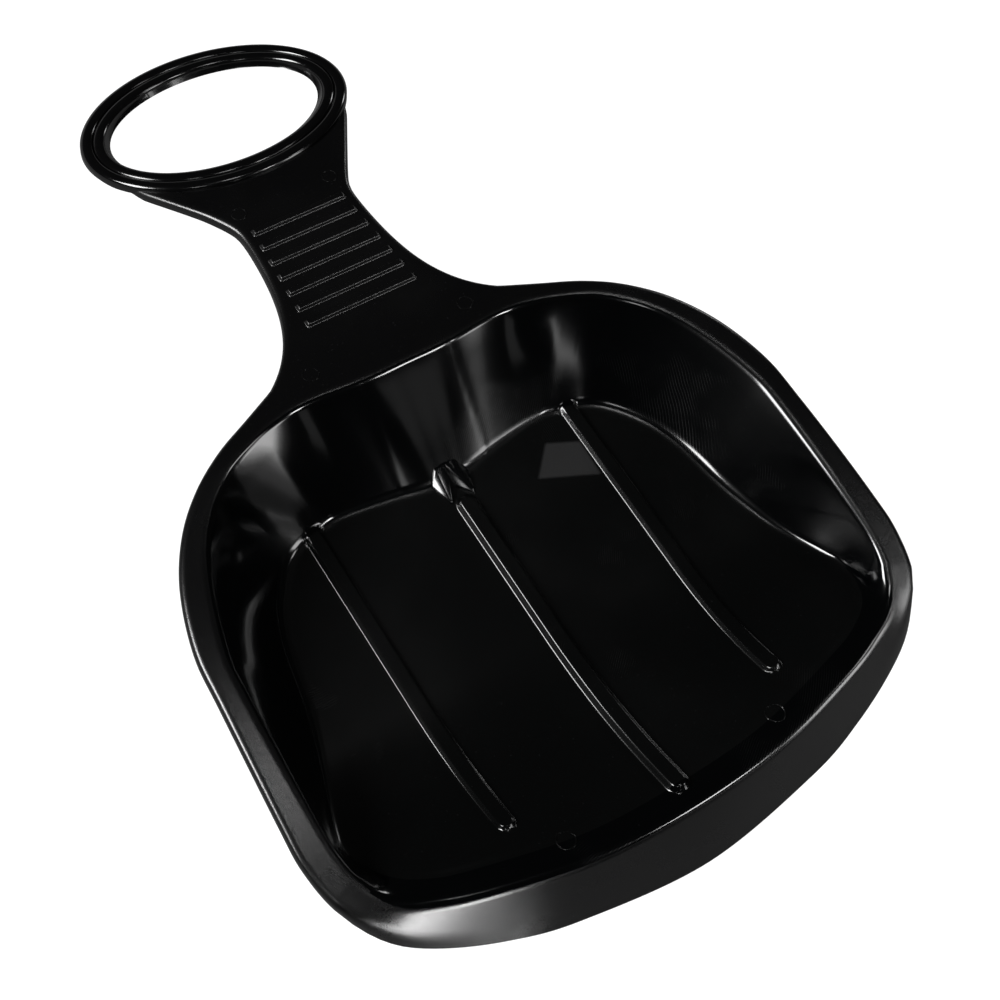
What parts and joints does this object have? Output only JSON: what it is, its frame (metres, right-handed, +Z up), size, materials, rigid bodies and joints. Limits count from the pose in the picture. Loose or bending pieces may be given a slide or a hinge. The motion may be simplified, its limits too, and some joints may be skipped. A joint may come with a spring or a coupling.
{
  "type": "bum slider",
  "caption": "Shallow moulded snow seat with a raised rim, a short ridged neck and an oval hand ring.",
  "frame": {"origin": "under the middle of the whole length, on the surface that the flat floor rests on", "axes": "+Y from the seat towards the hand ring, +Z up, +X to the rider's right"},
  "size_m": [0.2942, 0.4706, 0.0448],
  "materials": {
    "dish_plastic": "glossy black, fine scuffs",
    "rim_plastic": "satin black",
    "neck_plastic": "fine matt black",
    "ring_plastic": "polished black"
  },
  "bodies": {
    "root": {"seat_pan": "dish_plastic", "rim_flange": "rim_plastic", "neck_plate": "neck_plastic", "handle_ring": "ring_plastic"}
  },
  "joints": []
}
